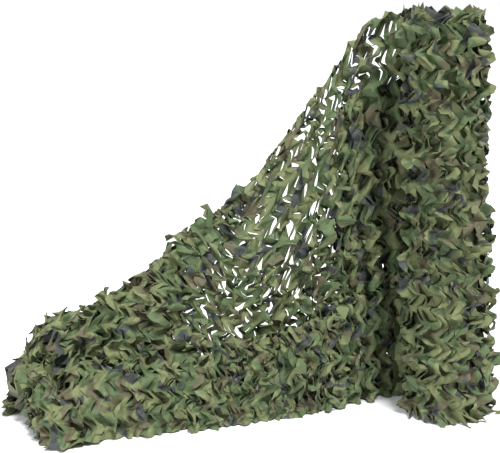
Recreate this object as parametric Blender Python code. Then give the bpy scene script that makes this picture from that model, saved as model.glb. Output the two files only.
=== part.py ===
"""Leaf-cut camouflage netting: a roll standing on end, with its free end drawn out to one side.

The cloth is one width of slit cloth.  It is wound into the roll, leaves the roll's back along a
slanting peel line, hangs as a curtain that sags towards -X, and ends in a low rumpled heap.

Metres, +Z up.  The origin is the centre of the roll's foot, on the floor.
"""
import math
import random

import bmesh
import bpy
import numpy as np

# ---- driving dimensions -------------------------------------------------------------------
CLOTH_WIDTH = 1.50        # selvedge to selvedge, which is the standing roll's height
CLOTH_THICK = 0.003       # the loose end, with the loft of its curled leaves

FOOT_RADIUS = 0.166       # middle of the outer turn, at the floor
HEAD_RADIUS = 0.152       # the same, at the top
LEAN_X = -0.014           # how far the roll's head leans
TURN_STEP = 0.012         # what one turn of the crumpled cloth adds to the radius
PEEL_FOOT = math.radians(128)   # where the cloth leaves the roll, at the floor ...
PEEL_HEAD = math.radians(102)   # ... and at the top
PEEL_GAP = 0.0012         # between the roll's step and the start of the loose end

# The real cut's lines lie 36 mm apart and repeat every 94 mm; the roll's relief is coarser.
ROLL_STRIPS = 18          # zigzag strips round the roll, 58 mm each
ROLL_ROW = 0.030          # a quarter of a zigzag's repeat
STRIP_FACE = 0.78         # the part of a strip that shows; the next strip's lip covers the rest
STRIP_SHIFT = 0.011       # sideways throw of the zigzag
LIP_PROUD = 0.009         # a strip's loose edge stands this far out ...
LIP_SUNK = 0.006          # ... and its covered edge this far in
TIP_RISE = 0.022          # leaf tips along the roll's two ends
FOOT_FLARE = 0.010        # tips that spread on the floor
WINDING_PITCH = 0.044     # coarse turns that show on the roll's end
WINDING_DEPTH = 0.020
HUB_RINGS = 4             # rings of the wound end to each coarse turn
CROWN_SHARE = 0.07        # the roll's top part, which draws in ...
CROWN_DRAW = 0.012        # ... by this much
SWELLS = ((0.004, 7.1, 0.0), (0.003, 17.0, 1.0))    # slow waves of its radius: size, radians foot to head, start
ROUGHNESS = 0.003         # random unevenness of every point

# The loose end's slits, at less than twice their real pitch.
SLIT_REPEAT = 0.128       # along the cloth's width: three quarters slit, one quarter joined
SLIT_PITCH = 0.065        # from one line of slits to the next
PLEAT_PITCH = 0.022       # columns where the cloth is pleated, with closed slits
SLIT_GAPE = 0.040         # widest opening
LEAF_LIFT = 0.011         # the two lips of a slit stand this far off the cloth's face
SELVEDGE = 2              # rows left uncut along each selvedge
PLEAT_WAVE = 0.080        # one pleat beside the roll
PLEAT_DEPTH = 0.017
PLEATED = (0.03, 0.08, 0.26, 0.46)       # along the cloth: pleats begin, are full, fade, end
WAVE_DEPTH = 0.009        # soft waves in the rest
WAVE_LONG, WAVE_SHORT = 0.42, 0.19
WAVED = (0.35, 0.65, 1.52, 1.62)         # the same four places for the waves

FLOOR_CLEAR = 0.004       # middle of the cloth above the floor
VALLEY_RISE = 0.06        # the curtain meets the lower fold this far above its shoulder, less the fold's drop
STEEP_BACK = 0.06         # a crest this far above the back edge gets a rounded back ...
BACK_SHAPE = ((0.35, 0.42, 0.14), (0.80, 0.72, 0.62))    # ... through these shares of the way down, in x, y and z

# ---- the loose end's sections, from the roll to the cut end ---------------------------------
# toe    the front selvedge on the floor
# fold_z, fold_drop, fold_in   the lower fold's shoulder, how far the cloth drops behind it, how deep
# crest  the highest line
# back   the rear selvedge: at the crest beside the roll, on the floor at the heap
SECTION_COLUMNS = ("toe_x", "toe_y", "belly", "fold_z", "fold_drop", "fold_in",
                   "crest_x", "crest_y", "crest_z", "back_x", "back_y", "back_z")
SECTIONS = (
    (-0.170, 0.128, 0.000, 0.40, 0.00, 0.00, -0.150, 0.158, 1.458, -0.150, 0.159, 1.453),
    (-0.265, 0.114, 0.006, 0.38, 0.00, 0.00, -0.262, 0.150, 1.425, -0.262, 0.151, 1.420),
    (-0.345, 0.102, 0.012, 0.36, 0.04, 0.02, -0.345, 0.143, 1.325, -0.345, 0.145, 1.320),
    (-0.430, 0.050, 0.022, 0.34, 0.08, 0.035, -0.430, 0.138, 1.212, -0.430, 0.141, 1.205),
    (-0.560, 0.000, 0.030, 0.32, 0.15, 0.050, -0.560, 0.130, 1.058, -0.560, 0.135, 1.045),
    (-0.740, -0.063, 0.034, 0.29, 0.18, 0.055, -0.755, 0.120, 0.845, -0.755, 0.140, 0.795),
    (-0.940, -0.114, 0.036, 0.23, 0.12, 0.050, -0.955, 0.115, 0.700, -0.960, 0.215, 0.420),
    (-1.140, -0.125, 0.040, 0.19, 0.08, 0.050, -1.165, 0.105, 0.510, -1.180, 0.290, 0.090),
    (-1.300, -0.165, 0.042, 0.20, 0.09, 0.080, -1.330, 0.115, 0.424, -1.370, 0.380, 0.004),
    (-1.415, -0.235, 0.040, 0.20, 0.11, 0.110, -1.465, 0.120, 0.380, -1.520, 0.390, 0.004),
    (-1.500, -0.195, 0.032, 0.18, 0.09, 0.08, -1.560, 0.130, 0.332, -1.640, 0.330, 0.004),
    (-1.545, -0.125, 0.020, 0.15, 0.05, 0.04, -1.622, 0.130, 0.285, -1.720, 0.215, 0.004),
)
OPEN_FROM, OPEN_TO = 0.24, 1.58    # where slits are open, in metres along the cloth from the roll
BUNCHED_FROM = 1.12                # from here on they are barely open


def catmull(points, where):
    """Points on a smooth curve through the rows of `points`, at float row numbers `where`."""
    points = np.asarray(points, float)
    last = len(points) - 1
    base = np.clip(np.floor(where).astype(int), 0, last - 1)
    part = (where - base)[:, None]
    before = points[np.maximum(base - 1, 0)]
    start, end = points[base], points[base + 1]
    after = points[np.minimum(base + 2, last)]
    return 0.5 * (2 * start + (end - before) * part
                  + (2 * before - 5 * start + 4 * end - after) * part ** 2
                  + (3 * start - before - 3 * end + after) * part ** 3)


def along(curve, lengths):
    """Points at the given lengths along a polyline."""
    steps = np.linalg.norm(np.diff(curve, axis=0), axis=1)
    run = np.concatenate([[0], np.cumsum(steps)])
    return np.stack([np.interp(lengths, run, curve[:, k]) for k in range(3)], axis=1)


def length_of(curve):
    return np.linalg.norm(np.diff(curve, axis=0), axis=1).sum()


# ---- the roll --------------------------------------------------------------------------------
def roll_centre(height):
    return LEAN_X * height / CLOTH_WIDTH


def roll_radius(height):
    share = height / CLOTH_WIDTH
    crown = max(0.0, share - (1 - CROWN_SHARE)) / CROWN_SHARE
    swell = sum(size * math.sin(turn * share + start) for size, turn, start in SWELLS)
    return FOOT_RADIUS + (HEAD_RADIUS - FOOT_RADIUS) * share + swell - CROWN_DRAW * crown ** 2


def peel_angle(height):
    return PEEL_FOOT + (PEEL_HEAD - PEEL_FOOT) * height / CLOTH_WIDTH


def zigzag(row):
    return 1 - abs(row % 4 - 2)      # -1 at the joins, +1 half a repeat on


def roll_point(column, row, rows, rng):
    """One point of the outer turn: a zigzag strip's proud or sunk edge."""
    columns = 2 * ROLL_STRIPS
    height = CLOTH_WIDTH * row / rows
    turn = (column + (column % 2) * (2 * STRIP_FACE - 1)) / columns
    edge_on = column in (0, columns)
    strip = column // 2
    proud = LIP_PROUD if column % 2 == 0 else -LIP_SUNK
    proud *= 0.65 + 0.35 * zigzag(row + 2 * strip)
    radius = roll_radius(height) + TURN_STEP * (turn - 0.5)
    radius += 0.3 * proud if edge_on else proud
    angle = peel_angle(height) + 2 * math.pi * turn
    if not edge_on:
        angle += STRIP_SHIFT * zigzag(row) / radius
        radius += rng.uniform(-ROUGHNESS, ROUGHNESS)
    if row == 0:
        radius += FOOT_FLARE * (column % 2)
    if row == rows:
        height += TIP_RISE * (0.5 - (column % 2) * (0.9 if strip % 2 else 0.4)) * rng.uniform(0.7, 1.0)
    return (roll_centre(height) + radius * math.cos(angle), radius * math.sin(angle), height)


def wound_end(bm, rim, centre_x, rng):
    """Rings from the roll's upper rim inwards, raised and sunk along the winding."""
    rings = int(HEAD_RADIUS / (WINDING_PITCH / HUB_RINGS))
    count = len(rim)
    inner = rim
    for ring in range(1, rings):
        share = 1 - ring / rings
        fresh = []
        for k in range(count):
            x, y, z = rim[k].co
            radius = math.hypot(x - centre_x, y) * share
            phase = radius / WINDING_PITCH - k / (count - 1)
            height = CLOTH_WIDTH - WINDING_DEPTH * (0.5 - 0.5 * math.cos(2 * math.pi * phase))
            height += rng.uniform(-ROUGHNESS, ROUGHNESS)
            fresh.append(bm.verts.new((centre_x + (x - centre_x) * share, y * share, height)))
        for k in range(count):
            j = (k + 1) % count
            bm.faces.new((inner[k], inner[j], fresh[j], fresh[k]))
        inner = fresh
    hub = bm.verts.new((centre_x, 0, CLOTH_WIDTH - 0.5 * WINDING_DEPTH))
    for k in range(count):
        bm.faces.new((inner[k], inner[(k + 1) % count], hub))


def make_roll():
    """One closed solid: the outer turn with its step at the peel line, a flat foot, a wound top."""
    rng = random.Random(11)
    rows = round(CLOTH_WIDTH / ROLL_ROW)
    columns = 2 * ROLL_STRIPS
    bm = bmesh.new()
    grid = [[bm.verts.new(roll_point(c, r, rows, rng)) for c in range(columns + 1)] for r in range(rows + 1)]
    for low, high in zip(grid, grid[1:]):
        for c in range(columns):
            bm.faces.new((low[c], low[c + 1], high[c + 1], high[c]))
        bm.faces.new((low[columns], low[0], high[0], high[columns]))
    centre = bm.verts.new((0, 0, 0))
    foot = grid[0]
    for c in range(columns + 1):
        bm.faces.new((foot[(c + 1) % (columns + 1)], foot[c], centre))
    wound_end(bm, grid[-1], roll_centre(CLOTH_WIDTH), rng)
    return finish_mesh(bm, "roll")


# ---- the loose end ---------------------------------------------------------------------------
def peel_section():
    """The cloth's line on the roll, from the foot to the head, just off the roll's step."""
    heights = np.linspace(FLOOR_CLEAR, CLOTH_WIDTH - TIP_RISE, 24)
    line = []
    for height in heights:
        angle = peel_angle(height) + PEEL_GAP / FOOT_RADIUS
        radius = roll_radius(height) + 0.5 * TURN_STEP
        line.append((roll_centre(height) + radius * math.cos(angle), radius * math.sin(angle), height))
    return np.array(line)


def section_curve(row):
    """One section of the loose end as a fine polyline, from its toe over the crest to its back edge."""
    s = dict(zip(SECTION_COLUMNS, row))
    toe = np.array([s["toe_x"], s["toe_y"], FLOOR_CLEAR])
    crest = np.array([s["crest_x"], s["crest_y"], s["crest_z"]])
    rise = crest - toe

    def face(height, push):
        share = height / s["crest_z"]
        return toe + rise * share + np.array([0, -push, 0])

    shoulder = s["fold_z"]
    valley = shoulder + VALLEY_RISE - s["fold_drop"]
    upper = max(valley, shoulder)
    points = [toe,
              face(0.45 * shoulder, s["belly"]),
              face(shoulder, s["belly"]),
              face(0.5 * (shoulder + valley + 0.5 * VALLEY_RISE), -0.45 * s["fold_in"]),
              face(valley, -0.85 * s["fold_in"]),
              face(0.6 * upper + 0.4 * valley + 0.02, -s["fold_in"]),
              face(upper + 0.30 * (s["crest_z"] - upper), -0.55 * s["fold_in"]),
              face(upper + 0.70 * (s["crest_z"] - upper), 0.3 * s["belly"]),
              crest]
    behind = np.array([s["back_x"], s["back_y"], s["back_z"]])
    if s["crest_z"] - s["back_z"] > STEEP_BACK:
        points += [crest + (behind - crest) * np.array(shares) for shares in BACK_SHAPE]
    points.append(behind)
    where = np.linspace(0, len(points) - 1, 160)
    curve = catmull(points, where)
    curve[:, 2] = np.maximum(curve[:, 2], FLOOR_CLEAR)
    return curve


def width_rows():
    return round(CLOTH_WIDTH / (SLIT_REPEAT / 4))


def draped_grid():
    """Grid of points on the draped cloth: columns follow the length, rows cross the width."""
    rows = width_rows()
    fine = catmull(SECTIONS, np.linspace(0, len(SECTIONS) - 1, 10 * len(SECTIONS)))
    curves = [peel_section()] + [section_curve(row) for row in fine]
    shares = np.linspace(0, 1, rows + 1)
    surface = np.array([along(curve, shares * length_of(curve)) for curve in curves])
    middle = surface[:, rows // 3]
    total = length_of(middle)
    stops = [0.0]
    while stops[-1] < total - 0.5 * PLEAT_PITCH:
        stops.append(stops[-1] + (PLEAT_PITCH if stops[-1] < OPEN_FROM else SLIT_PITCH))
    stops[-1] = total
    steps = np.linalg.norm(np.diff(middle, axis=0), axis=1)
    run = np.concatenate([[0], np.cumsum(steps)])
    grid = np.empty((len(stops), rows + 1, 3))
    for r in range(rows + 1):
        for k in range(3):
            grid[:, r, k] = np.interp(stops, run, surface[:, r, k])
    return grid, np.array(stops)


def face_normals(grid):
    along_length = np.gradient(grid, axis=0)
    across = np.gradient(grid, axis=1)
    normal = np.cross(across, along_length)
    return normal / np.maximum(np.linalg.norm(normal, axis=2, keepdims=True), 1e-9)


def between(run, begin, full, fade, end, least=0.0):
    """1 from `full` to `fade`, falling to 0 at `begin` and to `least` at `end`."""
    return np.clip((run - begin) / (full - begin), 0, 1) * np.clip((end - run) / (end - fade), least, 1)


def pleat(stops, rows):
    """Depth of the upright pleats beside the roll, and of the soft slanting waves further along."""
    share = np.linspace(0, 1, rows + 1)[None, :]
    run = stops[:, None]
    upright = (1 - 0.5 * share) * np.sin(2 * np.pi * run / PLEAT_WAVE + 1.5 * share)
    slanting = np.sin(2 * np.pi * (run / WAVE_LONG + 0.8 * share))
    slanting = slanting + 0.7 * np.sin(2 * np.pi * (run / WAVE_SHORT - 1.9 * share))
    waves = WAVE_DEPTH * between(run, *WAVED, least=0.3) * slanting * np.sin(np.pi * share)
    return PLEAT_DEPTH * between(run, *PLEATED) * upright + waves


def slit_here(column, row, rows):
    """True where a slit line is cut between this row and the next."""
    if row < SELVEDGE or row >= rows - SELVEDGE:
        return False
    return (row + 2 * (column % 2)) % 4 != 3


def make_loose_end():
    rng = random.Random(5)
    grid, stops = draped_grid()
    columns, rows = grid.shape[0] - 1, grid.shape[1] - 1
    normals = face_normals(grid)
    grid = grid + normals * pleat(stops, rows)[:, :, None]
    tangent = np.gradient(grid, axis=0)
    tangent /= np.linalg.norm(tangent, axis=2, keepdims=True)
    normals = face_normals(grid)

    bm = bmesh.new()

    def place(column, row, side=0, gape=0.0):
        spot = grid[column, row] + side * 0.5 * gape * tangent[column, row]
        lift = side * LEAF_LIFT * max(0.4, gape / SLIT_GAPE)
        if 0 < column < columns:
            lift += rng.uniform(-ROUGHNESS, ROUGHNESS)
        spot = spot + lift * normals[column, row]
        if row == rows and column % 2:
            spot = spot + 0.5 * (grid[column, row] - grid[column, row - 1])
        spot[2] = max(spot[2], FLOOR_CLEAR - 0.5 * CLOTH_THICK + 0.0015)
        return bm.verts.new(spot)

    left, right = [], []
    for c in range(columns + 1):
        open_line = 0 < c < columns and OPEN_FROM <= stops[c] <= OPEN_TO
        left_side, right_side = [], []
        for r in range(rows + 1):
            above, below = slit_here(c, r, rows), slit_here(c, r - 1, rows)
            if open_line and above and below:
                low = min(1.0, max(0.15, (grid[c, r, 2] - 0.25) / 0.40))
                ends = min(1.0, (stops[c] - OPEN_FROM + 0.10) / 0.25, (BUNCHED_FROM + 0.45 - stops[c]) / 0.45)
                gape = SLIT_GAPE * low * max(0.15, ends) * rng.uniform(0.8, 1.1)
                left_side.append(place(c, r, -1, gape))
                right_side.append(place(c, r, 1, gape))
            else:
                both = place(c, r)
                left_side.append(both)
                right_side.append(both)
        left.append(left_side)
        right.append(right_side)
    for c in range(columns):
        for r in range(rows):
            bm.faces.new((right[c][r], right[c][r + 1], left[c + 1][r + 1], left[c + 1][r]))
    obj = finish_mesh(bm, "loose_end")
    solid = obj.modifiers.new("cloth thickness", "SOLIDIFY")
    solid.thickness = CLOTH_THICK
    solid.offset = 0
    return obj


# ---- shared ----------------------------------------------------------------------------------
def finish_mesh(bm, name):
    bmesh.ops.recalc_face_normals(bm, faces=bm.faces)
    mesh = bpy.data.meshes.new(name)
    bm.to_mesh(mesh)
    bm.free()
    mesh.shade_smooth()
    mesh.set_sharp_from_angle(angle=math.radians(35))
    obj = bpy.data.objects.new(name, mesh)
    bpy.context.scene.collection.objects.link(obj)
    return obj


def cloth_material(name, colour):
    material = bpy.data.materials.new(name)
    material.use_nodes = True
    shader = material.node_tree.nodes["Principled BSDF"]
    shader.inputs["Base Color"].default_value = (*colour, 1)
    shader.inputs["Roughness"].default_value = 0.75
    shader.inputs["Metallic"].default_value = 0.0
    return material


def main():
    for obj in list(bpy.data.objects):
        bpy.data.objects.remove(obj, do_unlink=True)
    make_roll().data.materials.append(cloth_material("rolled net cloth", (0.085, 0.11, 0.045)))
    make_loose_end().data.materials.append(cloth_material("loose net cloth", (0.10, 0.125, 0.06)))


main()
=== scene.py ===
import math

import bpy
import numpy as np
from mathutils import Euler, Matrix, Vector


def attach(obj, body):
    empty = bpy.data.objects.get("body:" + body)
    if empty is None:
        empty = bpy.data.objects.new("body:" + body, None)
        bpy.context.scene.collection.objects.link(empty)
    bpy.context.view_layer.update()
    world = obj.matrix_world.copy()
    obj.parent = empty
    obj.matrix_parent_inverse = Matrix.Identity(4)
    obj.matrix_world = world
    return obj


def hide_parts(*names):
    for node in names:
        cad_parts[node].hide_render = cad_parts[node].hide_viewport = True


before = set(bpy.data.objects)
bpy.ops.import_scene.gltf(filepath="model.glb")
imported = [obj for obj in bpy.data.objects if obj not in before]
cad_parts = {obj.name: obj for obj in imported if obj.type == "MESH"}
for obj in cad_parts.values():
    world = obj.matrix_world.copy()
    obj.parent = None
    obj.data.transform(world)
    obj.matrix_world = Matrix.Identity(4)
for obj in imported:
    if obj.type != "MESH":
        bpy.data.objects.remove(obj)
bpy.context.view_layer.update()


# the cut: zigzag slits in lines, each line half a repeat on from the last
cut = {
    "strip": 0.036,                   # from one line of slits to the next, laid flat
    "stripsInTurn": 29,
    "rowsPerRepeat": 12,
    "repeats": 16,
    "facesAcross": 4,
    "zigzag": 0.0245,                 # throw of the zigzag either way
    "slitRows": 10,                   # of each repeat; the rest stays joined
    "footMargin": 3,                  # rows left uncut along the loose end's foot
    "headMargin": 4,
}
rowCount = cut["rowsPerRepeat"] * cut["repeats"]
legRows = cut["rowsPerRepeat"] // 2   # rows from one corner of the zigzag to the next


def ramp(value, start, over):
    # 0 up to start, rising to 1 over the given span
    return np.clip((value - start) / over, 0, 1)


def catmull(points, where):
    points = np.asarray(points, float)
    last = len(points) - 1
    base = np.clip(np.floor(where).astype(int), 0, last - 1)
    part = (where - base)[:, None]
    before, start = points[np.maximum(base - 1, 0)], points[base]
    end, after = points[base + 1], points[np.minimum(base + 2, last)]
    return 0.5 * (2 * start + (end - before) * part
                  + (2 * before - 5 * start + 4 * end - after) * part ** 2
                  + (3 * start - before - 3 * end + after) * part ** 3)


def evenly(curve, shares):
    steps = np.linalg.norm(np.diff(curve, axis=0), axis=1)
    run = np.concatenate([[0], np.cumsum(steps)])
    return np.stack([np.interp(shares * run[-1], run, curve[:, k]) for k in range(3)], axis=1)


def unit(vectors):
    return vectors / np.maximum(np.linalg.norm(vectors, axis=-1, keepdims=True), 1e-9)


def normalsOf(grid):
    return unit(np.cross(np.gradient(grid, axis=0), np.gradient(grid, axis=1)))


def softNoise(rng, shape, cell):
    # smooth random field: a coarse random grid, read between its points
    coarse = rng.uniform(-1, 1, (int(shape[0] / cell[0]) + 4, int(shape[1] / cell[1]) + 4))
    across = catmull(coarse, np.arange(shape[0]) / cell[0] + 1)
    return catmull(across.T, np.arange(shape[1]) / cell[1] + 1).T


def crumpled(rng, shape, layers):
    return sum(height * softNoise(rng, shape, cell) for height, cell in layers)


def straightBetween(corners, shape):
    # a grid of heights at the cut's corners, straight between them
    column = np.linspace(0, corners.shape[0] - 1, shape[0])
    row = np.linspace(0, corners.shape[1] - 1, shape[1])
    across = np.array([np.interp(column, np.arange(corners.shape[0]), line) for line in corners.T]).T
    return np.array([np.interp(row, np.arange(corners.shape[1]), line) for line in across])


# how the cloth is wound
winding = {
    "footRadius": 0.166,              # middle of the outer turn
    "headRadius": 0.152,
    "height": 1.50,                   # the cloth's width, selvedge to selvedge
    "leanX": -0.014,
    "turnStep": 0.012,
    "peelFoot": math.radians(128),
    "peelHead": math.radians(102),
    "turnLength": 1.03,
    "turnsLaid": 2.3,                 # turns before the peel line that the cloth is laid on
    "floorClear": 0.004,
    "swells": ((0.004, 7.1, 0.0), (0.003, 17.0, 1.0)),    # height, rate and start
    "crown": (0.93, 0.07, 0.012),     # it draws in from this share of the height, over this share, so much
}


def rollRadius(height):
    share = height / winding["height"]
    crownFrom, crownOver, crownDrop = winding["crown"]
    crown = np.clip(share - crownFrom, 0, 1) / crownOver
    swell = sum(size * np.sin(rate * share + start) for size, rate, start in winding["swells"])
    taper = (winding["headRadius"] - winding["footRadius"]) * share
    return winding["footRadius"] + taper + swell - crownDrop * crown ** 2


def woundLine(turn):
    # the cloth's line on the roll, foot to head, at so many turns before the peel line
    height = np.linspace(winding["floorClear"], winding["height"], rowCount + 1)
    peel = winding["peelFoot"] + (winding["peelHead"] - winding["peelFoot"]) * height / winding["height"]
    angle = peel + 2 * math.pi * turn
    radius = rollRadius(height) + winding["turnStep"] * (0.5 + turn)
    centre = winding["leanX"] * height / winding["height"]
    return np.stack([centre + radius * np.cos(angle), radius * np.sin(angle), height], axis=1)


# how the loose end lies, section by section from the roll to the cut end
sectionColumns = ("toeX", "toeY", "belly", "foldZ", "foldDrop", "foldIn",
                  "crestX", "crestY", "crestZ", "backX", "backY", "backZ")
sections = (
    (-0.170, 0.128, 0.000, 0.40, 0.00, 0.00, -0.150, 0.158, 1.458, -0.150, 0.159, 1.453),
    (-0.265, 0.114, 0.006, 0.38, 0.00, 0.00, -0.262, 0.150, 1.425, -0.262, 0.151, 1.420),
    (-0.345, 0.102, 0.012, 0.36, 0.04, 0.02, -0.345, 0.143, 1.325, -0.345, 0.145, 1.320),
    (-0.430, 0.050, 0.022, 0.34, 0.08, 0.035, -0.430, 0.138, 1.212, -0.430, 0.141, 1.205),
    (-0.560, 0.000, 0.030, 0.32, 0.15, 0.050, -0.560, 0.130, 1.058, -0.560, 0.135, 1.045),
    (-0.740, -0.063, 0.034, 0.29, 0.18, 0.055, -0.755, 0.120, 0.845, -0.755, 0.140, 0.795),
    (-0.940, -0.114, 0.036, 0.23, 0.12, 0.050, -0.955, 0.115, 0.700, -0.960, 0.215, 0.420),
    (-1.140, -0.125, 0.040, 0.19, 0.08, 0.050, -1.165, 0.105, 0.510, -1.180, 0.290, 0.090),
    (-1.300, -0.165, 0.042, 0.20, 0.09, 0.080, -1.330, 0.115, 0.424, -1.370, 0.380, 0.004),
    (-1.415, -0.235, 0.040, 0.20, 0.11, 0.110, -1.465, 0.120, 0.380, -1.520, 0.390, 0.004),
    (-1.490, -0.195, 0.032, 0.18, 0.09, 0.080, -1.555, 0.120, 0.318, -1.645, 0.290, 0.004),
    (-1.537, -0.125, 0.020, 0.13, 0.05, 0.040, -1.630, 0.100, 0.165, -1.708, 0.140, 0.004),
)


def sectionCurve(row):
    # the cloth's line on the loose end: up the low fold, in behind it, up to the crest and down at the back
    s = dict(zip(sectionColumns, row))
    toe = np.array([s["toeX"], s["toeY"], winding["floorClear"]])
    crest = np.array([s["crestX"], s["crestY"], s["crestZ"]])
    behind = np.array([s["backX"], s["backY"], s["backZ"]])
    shoulder = s["foldZ"]
    valley = shoulder + 0.06 - s["foldDrop"]
    upper = max(valley, shoulder)

    def face(height, push):
        return toe + (crest - toe) * height / s["crestZ"] + np.array([0, -push, 0])

    points = [toe,
              face(0.45 * shoulder, s["belly"]),
              face(shoulder, s["belly"]),
              face(0.5 * (shoulder + 0.03 + valley), -0.45 * s["foldIn"]),
              face(valley, -0.85 * s["foldIn"]),
              face(0.6 * upper + 0.4 * valley + 0.02, -s["foldIn"]),
              face(upper + 0.30 * (s["crestZ"] - upper), -0.55 * s["foldIn"]),
              face(upper + 0.70 * (s["crestZ"] - upper), 0.3 * s["belly"]),
              crest]
    if s["crestZ"] - s["backZ"] > 0.06:
        points.append(crest + (behind - crest) * np.array([0.35, 0.42, 0.14]))
        points.append(crest + (behind - crest) * np.array([0.80, 0.72, 0.62]))
    points.append(behind)
    curve = catmull(points, np.linspace(0, len(points) - 1, 240))
    curve[:, 2] = np.maximum(curve[:, 2], winding["floorClear"])
    return curve


# the heap at the cut end
heap = {
    "seed": 5,
    "uneven": (0.010, 0.014, 0.030),  # of the low fold's toe, belly and height
    "unevenCell": (7, 1),             # in fine sections
    "evenSections": 30,               # fine sections beside the roll stay even, and it fades in over as many
    "finePerSection": 12,
    "behindFrom": 0.85,               # from so far left of the roll ...
    "behindOver": 0.45,               # ... over this distance ...
    "behindShare": 0.45,              # ... more of the cloth's width lies crumpled behind the crest
    "plainStrips": 10,                # the low front fold of the last strips has one slit in four
    "plainRows": 40,
    "endCurl": 0.035,                 # the cut end rolls under this deep ...
    "curlFrom": 1.60,                 # ... from here on
}


def layOfCloth():
    # the whole cloth's surface: one line of points for each place along its length, 0 at the peel line
    turns = np.linspace(-winding["turnsLaid"], 0, 240)
    wound = np.array([woundLine(turn) for turn in turns])
    fineCount = heap["finePerSection"] * len(sections)
    fine = catmull(np.array(sections), np.linspace(0, len(sections) - 1, fineCount))
    uneven = softNoise(np.random.default_rng(heap["seed"]), (fineCount, 3), heap["unevenCell"])
    uneven = uneven * np.clip(np.arange(fineCount) / heap["evenSections"] - 1, 0, 1)[:, None]
    fine[:, 1:4] += uneven * np.array(heap["uneven"])
    behind = ramp(-fine[:, 0], heap["behindFrom"], heap["behindOver"]) * heap["behindShare"]
    shares = np.linspace(0, 1, rowCount + 1)
    loose = np.array([evenly(sectionCurve(row), shares + more * shares * (1 - shares))
                      for row, more in zip(fine, behind)])
    middle = np.concatenate([wound[-1:], loose])[:, rowCount // 3]
    steps = np.linalg.norm(np.diff(middle, axis=0), axis=1)
    places = np.concatenate([turns * winding["turnLength"], np.cumsum(steps)])
    return places, np.concatenate([wound, loose])


# how many strips lie from the peel line to each place on the loose end, in metres:
# bunched in pleats beside the roll, drawn wide open below its head, then closer again
stripPlan = ((0, 0.000), (20, 0.330), (31, 0.560), (43, 0.830), (60, 1.270), (80, 1.800))
looseStrips = stripPlan[-1][0]


def lineLength(line):
    # where a line of slits lies along the cloth, in metres from the peel line
    line = np.asarray(line, float)
    plan = np.array(stripPlan)
    steps = np.interp(line, plan[:, 0], np.arange(len(plan)))
    return np.where(line < 0, line * cut["strip"], catmull(plan[:, 1:], steps)[:, 0])


def slitNumber(line, row):
    return (row - legRows * (line % 2) + legRows) // cut["rowsPerRepeat"]


def isCut(line, row):
    # the slit runs between this row and the next
    phase = (row - legRows * (line % 2) + cut["slitRows"] // 2) % cut["rowsPerRepeat"]
    inside = ((row >= cut["footMargin"]) | (line < 0)) & (row < rowCount - cut["headMargin"])
    lowFront = (line > looseStrips - heap["plainStrips"]) & (row < heap["plainRows"])
    joined = lowFront & ((7 * line + 5 * slitNumber(line, row)) % 4 > 0)
    return (phase < cut["slitRows"]) & inside & ~joined


def flatGrid(name, columns, rows):
    bpy.ops.object.select_all(action="DESELECT")
    bpy.ops.mesh.primitive_grid_add(x_subdivisions=columns, y_subdivisions=rows, size=2)
    piece = bpy.context.object
    piece.name = piece.data.name = name
    return piece


def gridPlaces(mesh, columns, rows):
    # column and row of each point of a flat grid
    spots = np.empty(len(mesh.vertices) * 3)
    mesh.vertices.foreach_get("co", spots)
    spots = spots.reshape(-1, 3)
    return (np.rint((spots[:, 0] + 1) / 2 * columns).astype(int),
            np.rint((spots[:, 1] + 1) / 2 * rows).astype(int))


def cornersOf(mesh):
    corners = np.empty(len(mesh.loops), int)
    mesh.loops.foreach_get("vertex_index", corners)
    return corners


def sidesOf(mesh, column):
    # -1 on a slit's left lip, 1 on its right lip, 0 where the cloth is joined
    corners = cornersOf(mesh)
    faceMiddle = np.repeat(column[corners].reshape(-1, 4).mean(axis=1), 4)
    lean = np.sign(faceMiddle - column[corners])
    toLeft = np.zeros(len(mesh.vertices), bool)
    toRight = np.zeros(len(mesh.vertices), bool)
    toLeft[corners[lean < 0]] = True
    toRight[corners[lean > 0]] = True
    return np.where(toLeft & toRight, 0, np.where(toLeft, -1, 1))


def slitGrid(name, firstLine, stripCount, rowsHere):
    # a flat grid with its slits cut: column k * facesAcross is a line of slits
    columns = stripCount * cut["facesAcross"]
    piece = flatGrid(name, columns, rowsHere)
    mesh = piece.data
    column, row = gridPlaces(mesh, columns, rowsHere)
    ends = np.empty(len(mesh.edges) * 2, int)
    mesh.edges.foreach_get("vertices", ends)
    start, end = ends.reshape(-1, 2).T
    line, part = np.divmod(column[start], cut["facesAcross"])
    onLine = (part == 0) & (column[start] == column[end])
    inside = (column[start] > 0) & (column[start] < columns)
    chosen = onLine & inside & isCut(firstLine + line, np.minimum(row[start], row[end]))
    bpy.ops.object.mode_set(mode="EDIT")
    bpy.ops.mesh.select_mode(type="EDGE")
    bpy.ops.mesh.select_all(action="DESELECT")
    bpy.ops.object.mode_set(mode="OBJECT")
    mesh.edges.foreach_set("select", chosen)
    bpy.ops.object.mode_set(mode="EDIT")
    bpy.ops.mesh.edge_split(type="EDGE")
    bpy.ops.object.mode_set(mode="OBJECT")
    return piece


pleating = {
    "starts": (0.03, 0.05),           # fading in from here, over so much, ...
    "ends": (0.46, 0.20),             # ... and out before here
    "depth": 0.034,
    "pitch": 0.080,
    "headward": (0.5, 1.5),           # shallower and further on towards the head
    "groove": (0.052, 0.10, 0.035),   # the cloth is drawn in beside the roll: depth, place, half width
    "far": 0.009,                     # depth of the soft slanting folds of the curtain
    "farFrom": (0.35, 0.30),
    "farTo": (1.62, 0.10, 0.3),       # fading out before here to this share
    "slanting": ((1.0, 0.42, 0.8), (0.7, 0.19, -1.9)),    # share, pitch and slant
}


def pleated(along):
    # 1 in the pleats, 0 elsewhere
    return ramp(along, *pleating["starts"]) * ramp(-along, -pleating["ends"][0], pleating["ends"][1])


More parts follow.
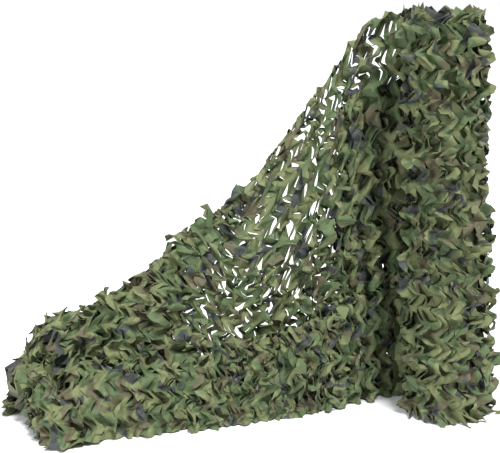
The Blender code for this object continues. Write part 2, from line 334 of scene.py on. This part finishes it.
def pleats(along, rows):
    p = pleating
    share = rows[None, :] / rowCount
    run = along[:, None]
    shallower, further = p["headward"]
    upright = np.sin(2 * math.pi * run / p["pitch"] + further * share)
    upright = p["depth"] * (1 - shallower * share) * upright
    end, over, least = p["farTo"]
    far = ramp(run, *p["farFrom"]) * np.clip((end - run) / over, least, 1)
    slanting = sum(part * np.sin(2 * math.pi * (run / pitch + slant * share))
                   for part, pitch, slant in p["slanting"])
    depth, place, halfWidth = p["groove"]
    groove = depth * np.exp(-((run - place) / halfWidth) ** 2) * np.clip(1.1 - share, 0, 1)
    return groove - pleated(run) * upright - p["far"] * far * slanting * np.sin(math.pi * share)


# how the slits gape, in metres at their widest
gapes = {
    "closed": -0.008,                 # slack cloth laps over itself by so much at every slit
    "wound": 0.010,                   # slits on the roll
    "drawn": 0.0068,                  # slits where the cloth hangs drawn out ...
    "drawnLap": 0.010,                # ... less the lap that is left there ...
    "widen": 1.8,                     # ... and so much wider high up, where no lap is left
    "high": (0.85, 0.30),             # from this height, over this much
    "underHead": (1.32, 0.08, 0.6),   # and from here, over this much, by this share less again
    "luck": (1.3, 1.8),               # each slit's own share: greatest, and above 1 most slits gape little
    "ends": (2.2, 0.8),               # above 1, a slit narrows towards its ends; by so much less high up
    "shear": (0.25, 0.5),             # mean and spread of the lips' slide, which opens one leg of a slit
    # the loose end's slits stand open from these heights up: place along it, height
    "openAbove": ((0.00, 1.10), (0.30, 1.02), (0.38, 0.74), (0.50, 0.54),
                  (0.70, 0.38), (0.95, 0.26), (1.15, 0.34)),
    "openOver": 0.28,                 # fading in over this height ...
    "openBand": (1.00, 1.20),         # ... and out between these two places
}


def openness(along, height):
    # how far the slits stand open: 1 where the curtain is drawn, 0 in the pleats, low down and in the heap
    plan = np.array(gapes["openAbove"])
    least = np.interp(along, plan[:, 0], plan[:, 1])
    fadeFrom, fadeTo = gapes["openBand"]
    return ramp(height, least, gapes["openOver"]) * ramp(fadeTo - along, 0, fadeTo - fadeFrom)


def zigzagOf(row):
    period = cut["rowsPerRepeat"]
    return cut["zigzag"] * (1 - np.abs((row + legRows) % period - legRows) / (legRows / 2))


# random folds, each with its height in metres and its cell in columns and rows
crumpling = {
    "sway": (0.018, 92, 1.7),         # the lines of slits sway by so much, over so many rows and metres
    "drift": ((0.012, (6, 9)),),      # along the cloth
    "lumps": ((0.006, (9, 18)), (0.005, (18, 40))),
    "corner": 0.0085,                 # every corner of the cut, out of the cloth
    "rough": ((0.0020, (4, 6)), (0.0012, (2, 3))),
    "smallSlip": ((0.003, (4, 6)),),  # up and down the cloth
    "slip": ((0.036, (8, 22)),),
    "slipMargin": 24,                 # the slip fades out over these rows at both selvedges
}


def foldedCloth(rng, firstLine, stripCount, lay):
    # the uncut cloth on its folds: each column's place along it, its points, and its three directions
    places, surface = lay
    rows = np.arange(rowCount + 1)
    along = lineLength(firstLine + np.arange(stripCount * cut["facesAcross"] + 1) / cut["facesAcross"])
    shape = (len(along), len(rows))
    spacing = np.gradient(along) * cut["facesAcross"] / cut["strip"]    # below 1 where it is bunched
    swayBy, swayRows, swayLength = crumpling["sway"]
    spread = along[:, None] + spacing[:, None] * zigzagOf(rows)[None, :]
    sway = np.sin(2 * math.pi * (rows[None, :] / swayRows + along[:, None] / swayLength))
    spread = spread + swayBy * sway
    spread = spread + crumpled(rng, shape, crumpling["drift"])
    base = np.empty(shape + (3,))
    for r in rows:
        for k in range(3):
            base[:, r, k] = np.interp(spread[:, r], places, surface[:, r, k])
    lumps = crumpled(rng, shape, crumpling["lumps"])
    corners = rng.normal(0, crumpling["corner"], (stripCount + 1, 2 * cut["repeats"] + 1))
    lumps = lumps + straightBetween(corners, shape)
    base = base + normalsOf(base) * (pleats(along, rows) + lumps)[:, :, None]
    tangent = unit(np.gradient(base, axis=0))
    upward = unit(np.gradient(base, axis=1))
    edge = slice(-tips["standRows"], None)
    steady = slice(-tips["steadyRow"], 1 - tips["steadyRow"])
    upward[:, edge] = np.where(base[:, -1:, 2:] > tips["standAbove"], upward[:, steady], upward[:, edge])
    front = np.where(along < 0.05, 1.0, -1.0)[:, None, None]    # the seen face turns over at the peel line
    return along, base, tangent, upward, unit(np.cross(tangent, upward)) * front


# how the leaves between the slits curl, in metres
leaves = {
    "lift": 0.020,                    # a leaf's corner curls out this far ...
    "back": 0.006,                    # ... and back from its slit this far
    "sink": 0.008,                    # the lip behind it lies this deep
    "blunt": 1.25,                    # above 1, a leaf's corner bends as one
    "curl": 1.1,                      # above 1, a leaf bends most near its corner
    "luck": (0.65, -0.2, 2.4),        # each leaf's own share: spread, least, greatest
    "sinkLuck": 0.7,
    "edge": 0.3,                      # what is left of it along a piece's first and last line
    "pleated": 0.7,                   # leaves lie flatter by this share in the pleats ...
    "drawn": 0.75,                    # ... bend back less by this share where the cloth is drawn out ...
    "drawnFlat": 0.6,                 # ... and lie flatter there ...
    "belowCrest": 0.14,               # ... from so far below the crest
    "tilt": (0.0085, -0.003),         # rising and falling legs turn about their own length ...
    "tiltSpread": 0.0060,             # ... by uneven amounts ...
    "tiltOnRoll": 1.5,                # ... so many times more on the roll ...
    "tiltDrawn": 0.6,                 # ... and less by this share of the bend lost where it is drawn out
}


def lipsOfSlits(rng, firstLine, stripCount, height):
    # how the lips of each slit stand: shifts along the cloth, lifts off it, the slide of one lip past
    # the other, and how much bend is left where the cloth is drawn out
    lines = firstLine + np.arange(stripCount + 1)[:, None]
    rows = np.arange(rowCount + 1)[None, :]
    along = lineLength(lines[:, 0])[:, None]
    run = ((rows - legRows * (lines % 2) + cut["slitRows"] // 2) % cut["rowsPerRepeat"]) / cut["slitRows"]
    joined = (rows >= rowCount - cut["headMargin"]) | ((firstLine >= 0) & (rows <= cut["footMargin"]))
    opened = np.where((run > 1) | joined, 0, 1 - np.abs(2 * np.clip(run, 0, 1) - 1))
    flap = np.clip(leaves["blunt"] * opened, 0, 1)
    flap[[0, -1]] *= leaves["edge"]

    draws = (stripCount + 1, cut["repeats"] + 3)
    each = (np.arange(stripCount + 1)[:, None], slitNumber(lines, rows))
    luck = rng.uniform(0.0, gapes["luck"][0], draws)[each] ** gapes["luck"][1]
    spread, least, most = leaves["luck"]
    leafLuck = np.clip(rng.normal(1.0, spread, draws), least, most)[each]
    sinkLuck = rng.normal(1.0, leaves["sinkLuck"], draws)[each]
    shear = rng.normal(*gapes["shear"], draws)[each]

    drawn = openness(along, height)
    headFrom, headOver, less = gapes["underHead"]
    high = ramp(height, *gapes["high"]) - less * ramp(height, headFrom, headOver)
    widest = gapes["drawn"] * luck * (1 + gapes["widen"] * high) - gapes["drawnLap"] * (1 - high)
    hanging = gapes["closed"] + (widest - gapes["closed"]) * drawn
    narrow, wider = gapes["ends"]
    gape = np.where(lines < 0, gapes["wound"] * luck, hanging) * opened ** (narrow - wider * high)

    free = 1 - leaves["pleated"] * pleated(along)
    bend = 1 - leaves["drawn"] * np.where(lines < 0, 0, drawn)
    belowCrest = ramp(height.max(axis=1, keepdims=True) - height, 0, leaves["belowCrest"])
    flatter = 1 - leaves["drawnFlat"] * (1 - bend) * belowCrest
    leafSide = np.where(lines % 2 == 0, -1, 1)    # the lip whose corner points over the slit
    shifts = {}
    lifts = {}
    for lip in (-1, 1):
        over = leafSide == lip
        lifted = np.where(over, leaves["lift"] * leafLuck, -leaves["sink"] * sinkLuck)
        lifts[lip] = lifted * flap * free * flatter
        back = np.where(over, leaves["back"] * leafLuck, 0) * flap * free * bend
        shifts[lip] = lip * (0.5 * gape + back)
    return shifts, lifts, 0.5 * np.maximum(gape, 0) * shear, bend


def betweenLips(lips, line, row, side, share, curl=1.0):
    # what is given at both lips of every slit, for each point of the mesh
    nextLine = np.minimum(line + 1, len(lips[1]) - 1)
    onSlit = np.where(side == 0, 0, np.where(side < 0, lips[-1][line, row], lips[1][line, row]))
    inStrip = (1 - share) ** curl * lips[1][line, row] + share ** curl * lips[-1][nextLine, row]
    return np.where(share == 0, onSlit, inStrip)


def turnOfLegs(rng, stripCount, onRoll, line, row, side, share, bend):
    # each leg of each strip turns about its own length
    legs = np.arange(2 * cut["repeats"] + 1)
    turned = np.where(legs % 2 == 1, *leaves["tilt"])
    turned = turned + rng.normal(0, leaves["tiltSpread"], (stripCount + 2, len(legs)))
    turned = turned * (leaves["tiltOnRoll"] if onRoll else 1.0)
    strip = np.clip(np.where(side < 0, line - 1, line), 0, stripCount)
    shareOfStrip = np.where(side < 0, 1.0, share)
    midLeg = np.clip(1.5 * np.sin(math.pi * (row % legRows) / legRows), 0, 1)
    left = 1 - leaves["tiltDrawn"] + leaves["tiltDrawn"] * bend[line, row]
    lift = turned[strip, row // legRows] * midLeg * left * (2 * shareOfStrip - 1)
    return np.where((share == 0) & (side == 0), 0, lift)


# tips along both selvedges, in two kinds by turns: width in spacings, height, form
tips = {
    "head": ((1.35, 0.070, 1.0), (0.95, 0.052, 0.7)),
    "foot": ((1.00, 0.034, 1.0), (0.80, 0.020, 0.50)),
    "rows": 6,                        # rows that they take up
    "bend": 1.5,                      # above 1, they bend most at their points
    "rollSpacing": 1.45,              # strips from tip to tip
    "looseSpacing": 1.9,
    "footSpacing": 1.7,
    "rollCut": 0.048,                 # between the tips the cloth ends so far below its full width
    "looseCut": 0.016,
    "innerCut": 0.064,                # and on the layers behind, ...
    "inner": 0.2,                     # ... whose tips keep this share of their height
    "innerFrom": 0.025,               # a piece sunk deeper than this is such a layer
    "endFade": 0.12,                  # they shrink over this length at the cut end
    "standAbove": 0.75,               # above this height they stand up from the crest
    "standRows": 4,                   # so many rows take their direction ...
    "steadyRow": 9,                   # ... from the row this far from the edge
    "jitter": 0.2,                    # unevenness of their spacing, in spacings, ...
    "widths": (0.8, 1.2),             # ... their widths, ...
    "heights": (0.6, 1.25),           # ... their heights ...
    "leans": (-0.010, 0.016),         # ... and how far they lean out
}


def tipsAlong(rng, columns, spacing, shapes):
    # height and lean of a row of tips, for each column
    place = np.arange(columns + 1)
    rise = np.zeros(columns + 1)
    lean = np.zeros(columns + 1)
    for k in range(int(columns / spacing) + 2):
        width, height, form = shapes[k % 2]
        middle = (k + rng.uniform(-tips["jitter"], tips["jitter"])) * spacing
        reach = width * spacing / 2 * rng.uniform(*tips["widths"])
        tip = np.clip(1 - np.abs(place - middle) / reach, 0, 1) ** form
        rise = np.maximum(rise, tip * height * rng.uniform(*tips["heights"]))
        lean = lean + tip * rng.uniform(*tips["leans"])
    return rise, lean


printSpan = 8.0                       # metres of cloth across the print's coordinates


def setPrint(mesh, flat):
    # each point's place on the flat cloth, for the print, its wear and its creases
    layer = mesh.uv_layers[0]
    layer.name = "clothFlat"
    layer.uv.foreach_set("vector", ((flat[cornersOf(mesh)] + printSpan / 2) / printSpan).ravel())


floorGap = 0.0012                     # nothing lies lower


def hangCloth(piece, firstLine, stripCount, rowsHere, lay, seed, sunk):
    # lays a slit grid on the cloth's folds, opens its slits and curls its leaves
    mesh = piece.data
    rng = np.random.default_rng(seed)
    onRoll = firstLine < 0
    inner = sunk > tips["innerFrom"]
    across = cut["facesAcross"]
    columns = stripCount * across
    shape = (columns + 1, rowCount + 1)
    along, base, tangent, upward, outward = foldedCloth(rng, firstLine, stripCount, lay)
    shifts, lifts, sheared, bend = lipsOfSlits(rng, firstLine, stripCount, base[::across, :, 2])

    column, row = gridPlaces(mesh, columns, rowsHere)
    side = sidesOf(mesh, column)
    line, part = np.divmod(column, across)
    share = part / across
    shift = betweenLips(shifts, line, row, side, share)
    lift = betweenLips(lifts, line, row, side, share, leaves["curl"]) - sunk
    lift = lift + turnOfLegs(rng, stripCount, onRoll, line, row, side, share, bend)
    rough = crumpled(rng, shape, crumpling["rough"])
    rows = np.arange(rowCount + 1)
    inward = ramp(np.minimum(rows, rowCount - rows), 0, crumpling["slipMargin"])
    slip = crumpled(rng, shape, crumpling["smallSlip"])
    slip = slip + inward * crumpled(rng, shape, crumpling["slip"])

    # tips rise along the head and spread on the floor along the foot, and the cut end rolls under
    clothEnd = lay[0][-1]
    spacing = tips["rollSpacing"] if onRoll else tips["looseSpacing"]
    rise, lean = tipsAlong(rng, columns, across * spacing, tips["head"])
    headWeight = ramp(row, rowCount - tips["rows"], tips["rows"]) ** tips["bend"]
    headWeight = headWeight * ramp(clothEnd - along[column], 0, tips["endFade"])
    cutBack = tips["innerCut"] if inner else tips["rollCut"] if onRoll else tips["looseCut"]
    tabRise = headWeight * (rise[column] * (tips["inner"] if inner else 1) - cutBack)
    lift = lift + headWeight * lean[column]
    spreadOut, lean = tipsAlong(rng, columns, across * tips["footSpacing"], tips["foot"])
    lift = lift + ramp(tips["rows"] - row, 0, tips["rows"]) ** tips["bend"] * spreadOut[column]
    curled = ramp(along[column], heap["curlFrom"], clothEnd - heap["curlFrom"])
    lift = lift - heap["endCurl"] * curled ** 2

    spots = base[column, row] + tangent[column, row] * shift[:, None]
    spots = spots + outward[column, row] * (lift + rough[column, row])[:, None]
    slide = slip[column, row] + tabRise - side * sheared[line, row]
    spots = spots + upward[column, row] * slide[:, None]
    spots[:, 2] = np.maximum(spots[:, 2], floorGap)
    mesh.vertices.foreach_set("co", spots.ravel())
    setPrint(mesh, np.stack([(firstLine + column / across) * cut["strip"] + zigzagOf(row),
                             row / rowCount * winding["height"]], axis=1))
    mesh.update()
    bpy.ops.object.shade_smooth_by_angle(angle=math.radians(6))


class Value:
    # a socket that adds its Math nodes when it is used in an expression
    def __init__(self, tree, socket):
        self.tree, self.socket = tree, socket

    def join(self, operation, other):
        return node(self.tree, "ShaderNodeMath", {"operation": operation}, {0: self, 1: other})

    def __add__(self, other):
        return self.join("ADD", other)

    __radd__ = __add__

    def __mul__(self, other):
        return self.join("MULTIPLY", other)

    __rmul__ = __mul__


def node(tree, kind, settings=None, inputs=None, output=0):
    made = tree.nodes.new(kind)
    for name, value in (settings or {}).items():
        setattr(made, name, value)
    for name, value in (inputs or {}).items():
        if isinstance(value, Value):
            tree.links.new(value.socket, made.inputs[name])
        else:
            made.inputs[name].default_value = value
    return Value(tree, made.outputs[output])


clothLook = {
    "ground": (0.120, 0.139, 0.060),  # olive, which shows where no patch lies
    # green, brown and dark patches: colour, where in the noise they are read, its levels at their edge
    "patches": (((0.068, 0.100, 0.042), (3.1, 7.7, 0), 0.49, 0.52),
                ((0.082, 0.076, 0.040), (11.3, 1.9, 0), 0.595, 0.62),
                ((0.038, 0.044, 0.041), (5.7, 17.1, 0), 0.615, 0.64)),
    "blotch": 0.060,                  # metres
    "crease": 0.0016,                 # height of its soft creases
    "wearScale": 30.0,
    "creaseScale": 55.0,
    "tint": (0.75, 0.5),              # brightness: its least, and what the wear adds
    "roughness": (0.50, 0.25),        # likewise
    "shine": 0.28,
    "sheen": 0.05,
}


def clothMaterial():
    look = clothLook
    material = bpy.data.materials.new("printedNetCloth")
    material.use_nodes = True
    tree = material.node_tree
    shader = tree.nodes["Principled BSDF"]
    flat = node(tree, "ShaderNodeUVMap", {"uv_map": "clothFlat"})
    metres = node(tree, "ShaderNodeVectorMath", {"operation": "SCALE"}, {0: flat, 3: printSpan})
    colour = (*look["ground"], 1)
    for patchColour, offset, low, high in look["patches"]:
        moved = node(tree, "ShaderNodeVectorMath", {"operation": "ADD"}, {0: metres, 1: offset})
        cloud = node(tree, "ShaderNodeTexNoise", {"noise_dimensions": "2D"},
                     {"Vector": moved, "Scale": 0.62 / look["blotch"], "Detail": 2.0,
                      "Roughness": 0.45, "Distortion": 0.6})
        patch = node(tree, "ShaderNodeMapRange", {"interpolation_type": "SMOOTHSTEP"},
                     {"Value": cloud, "From Min": low, "From Max": high})
        colour = node(tree, "ShaderNodeMix", {"data_type": "RGBA"},
                      {0: patch, 6: colour, 7: (*patchColour, 1)}, output=2)
    wear = node(tree, "ShaderNodeTexNoise", {"noise_dimensions": "2D"},
                {"Vector": metres, "Scale": look["wearScale"], "Detail": 3.0})
    least, more = look["tint"]
    tint = node(tree, "ShaderNodeVectorMath", {"operation": "SCALE"}, {0: colour, 3: least + wear * more})
    tree.links.new(tint.socket, shader.inputs["Base Color"])
    least, more = look["roughness"]
    tree.links.new((least + wear * more).socket, shader.inputs["Roughness"])
    creases = node(tree, "ShaderNodeTexNoise", {"noise_dimensions": "2D"},
                   {"Vector": metres, "Scale": look["creaseScale"], "Detail": 2.0, "Distortion": 0.5})
    bump = node(tree, "ShaderNodeBump", None,
                {"Height": creases, "Distance": look["crease"], "Strength": 1.0})
    tree.links.new(bump.socket, shader.inputs["Normal"])
    shader.inputs["Specular IOR Level"].default_value = look["shine"]
    shader.inputs["Sheen Weight"].default_value = look["sheen"]
    return material


def dress(piece, material):
    piece.data.materials.clear()
    piece.data.materials.append(material)
    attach(piece, "root")


def makePiece(name, firstLine, stripCount, lay, seed, material, sunk, rowsHere=rowCount):
    piece = slitGrid(name, firstLine, stripCount, rowsHere)
    hangCloth(piece, firstLine, stripCount, rowsHere, lay, seed, sunk)
    dress(piece, material)
    print(name, len(piece.data.polygons), "faces")
    return piece


windingEnd = {
    "turns": 7.5,
    "outerInset": 0.026,              # inside the outer turn's middle
    "innerRadius": 0.028,
    "below": 0.084,                   # the upper edges lie this far below the cloth's full width
    "depth": 0.11,
    "stepsPerTurn": 56,
    "rows": 6,
    "startAngle": 0.6,
    "seed": 17,
    "wobble": 0.005,
    "heave": 0.006,
    "oval": (0.05, 1.03, 1.0),        # out of round by so much, turning at this rate from this start
    "tips": (0.020, 5),               # height, and columns from one's point to its foot
    "printed": (4.4, 1.4, 0.1),       # length, place and width of the cloth it shows
}


def makeWinding(material):
    # the inner turns' upper edges, seen from above: one long strip wound inwards
    w = windingEnd
    columns = int(w["turns"] * w["stepsPerTurn"])
    piece = flatGrid("innerWinding", columns, w["rows"])
    mesh = piece.data
    column, row = gridPlaces(mesh, columns, w["rows"])
    share = column / columns
    level = row / w["rows"]
    rough = softNoise(np.random.default_rng(w["seed"]), (columns + 1, w["rows"] + 1), (6, 4))[column, row]
    outerRadius = float(rollRadius(np.array(winding["height"]))) - w["outerInset"]
    turn = share * w["turns"]
    radius = outerRadius + (w["innerRadius"] - outerRadius) * share + w["wobble"] * rough
    ovalBy, ovalRate, ovalStart = w["oval"]
    radius = radius * (1 + ovalBy * np.sin(2 * math.pi * turn * ovalRate + ovalStart) * share)
    angle = 2 * math.pi * turn + w["startAngle"]
    tipHeight, tipColumns = w["tips"]
    points = np.where(row == w["rows"], np.abs((column / tipColumns) % 2 - 1) * tipHeight, 0)
    height = winding["height"] - w["below"] - w["depth"] * (1 - level) + points + w["heave"] * rough
    spots = np.stack([winding["leanX"] + radius * np.cos(angle), radius * np.sin(angle), height], axis=1)
    mesh.vertices.foreach_set("co", spots.ravel())
    length, place, width = w["printed"]
    setPrint(mesh, np.stack([share * length, place + width * level], axis=1))
    mesh.update()
    bpy.ops.object.shade_smooth_by_angle(angle=math.radians(40))
    dress(piece, material)
    return piece


core = {
    "inset": 0.046,                   # inside the outer turn's middle
    "foot": 0.01,
    "headroom": 0.13,
    "sides": 64,
}


def makeCore(material):
    # the turns under the two that show, as one plain body
    bpy.ops.object.select_all(action="DESELECT")
    bpy.ops.mesh.primitive_cylinder_add(vertices=core["sides"], radius=1, depth=2, location=(0, 0, 0))
    piece = bpy.context.object
    piece.name = piece.data.name = "innerTurns"
    bpy.ops.object.mode_set(mode="EDIT")
    bpy.ops.mesh.select_all(action="SELECT")
    bpy.ops.mesh.bisect(plane_co=(0, 0, 0), plane_no=(0, 0, 1))
    bpy.ops.object.mode_set(mode="OBJECT")
    for point in piece.data.vertices:
        height = (point.co.z + 1) / 2 * (winding["height"] - core["headroom"]) + core["foot"]
        radius = float(rollRadius(np.array(height))) - core["inset"]
        centre = winding["leanX"] * height / winding["height"]
        point.co = (point.co.x * radius + centre, point.co.y * radius, height)
    dress(piece, material)
    return piece


# a second layer lies behind the pleats, low behind the curtain and in the heap
pleatStrips = 19                      # the first ends at this strip ...
pleatRows = 158                       # ... and is so many rows high
lowRows = 74                          # rows of the one behind the curtain
underFrom = 53                        # the one in the heap begins at this strip ...
underRows = 118                       # ... and is so many rows high


lay = layOfCloth()
cloth = clothMaterial()
turnStrips = cut["stripsInTurn"]
outer = makePiece("outerTurn", -turnStrips, turnStrips, lay, 11, cloth, 0.017)
second = makePiece("secondTurn", -2 * turnStrips + 1, turnStrips, lay, 12, cloth, 0.030)
loose = makePiece("looseEnd", 0, looseStrips, lay, 13, cloth, 0.0)
under = makePiece("underLayer", underFrom, looseStrips - underFrom - 1, lay, 14, cloth, 0.030, underRows)
lining = makePiece("lowLayer", pleatStrips, underFrom - pleatStrips, lay, 16, cloth, 0.030, lowRows)
behind = makePiece("pleatLayer", 1, pleatStrips - 1, lay, 15, cloth, 0.032, pleatRows)
print("along the loose end", round(float(lay[0][-1]), 3), "m")
turnsInside = makeCore(cloth)
wound = makeWinding(cloth)
for piece in (outer, second, turnsInside, wound):
    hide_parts("roll")
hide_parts("loose_end")
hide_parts("loose_end")
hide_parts("loose_end")
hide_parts("loose_end")
print("cloth hung")


stageLook = {
    "floorColour": (0.80, 0.81, 0.82),
    "floorRoughness": 0.9,
    "backdrop": 1.0,
    "ambient": 0.34,
    # each sun: towards it, its strength, its width in degrees
    "lamps": (("keySun", (0.28, -0.46, 0.94), 5.5, 20), ("fillSun", (-0.85, -0.50, 0.50), 2.0, 40)),
}


def makeStage():
    bpy.ops.object.select_all(action="DESELECT")
    bpy.ops.mesh.primitive_plane_add(size=60, location=(0, 0, 0))
    floor = bpy.context.object
    floor.name = "studioFloor"
    material = bpy.data.materials.new("studioFloorWhite")
    material.use_nodes = True
    shader = material.node_tree.nodes["Principled BSDF"]
    shader.inputs["Base Color"].default_value = (*stageLook["floorColour"], 1)
    shader.inputs["Roughness"].default_value = stageLook["floorRoughness"]
    shader.inputs["Specular IOR Level"].default_value = 0.0
    floor.data.materials.append(material)


def makeLights():
    world = bpy.data.worlds.new("studioWorld")
    bpy.context.scene.world = world
    world.use_nodes = True
    tree = world.node_tree
    ray = node(tree, "ShaderNodeLightPath")
    span = stageLook["backdrop"] - stageLook["ambient"]
    tree.links.new((ray * span + stageLook["ambient"]).socket, tree.nodes["Background"].inputs["Strength"])
    tree.nodes["Background"].inputs["Color"].default_value = (1, 1, 1, 1)
    for name, towards, power, width in stageLook["lamps"]:
        light = bpy.data.lights.new(name, "SUN")
        light.angle = math.radians(width)
        light.energy = power
        lamp = bpy.data.objects.new(name, light)
        lamp.rotation_euler = Vector(towards).to_track_quat("Z", "Y").to_euler()
        bpy.context.scene.collection.objects.link(lamp)


cameraLook = {
    "place": (-0.72, -3.9, 1.65),
    "focalPixels": 1095,              # of a picture 500 pixels wide
    "pictureWidth": 500,
    "sensor": 36,
    "down": 13.1,                     # degrees
    "roll": -2.5,
}


def makeCamera():
    view = bpy.data.cameras.new("photoView")
    view.lens = cameraLook["focalPixels"] / cameraLook["pictureWidth"] * cameraLook["sensor"]
    view.sensor_width = cameraLook["sensor"]
    camera = bpy.data.objects.new("photoView", view)
    tilt = Euler((math.radians(90 - cameraLook["down"]), 0, 0)).to_matrix()
    turn = tilt @ Matrix.Rotation(math.radians(cameraLook["roll"]), 3, "Z")
    camera.rotation_euler = turn.to_euler()
    camera.location = cameraLook["place"]
    bpy.context.scene.collection.objects.link(camera)
    bpy.context.scene.camera = camera


makeStage()
makeLights()
makeCamera()
bpy.context.scene.view_settings.view_transform = "Standard"
print("stage set")
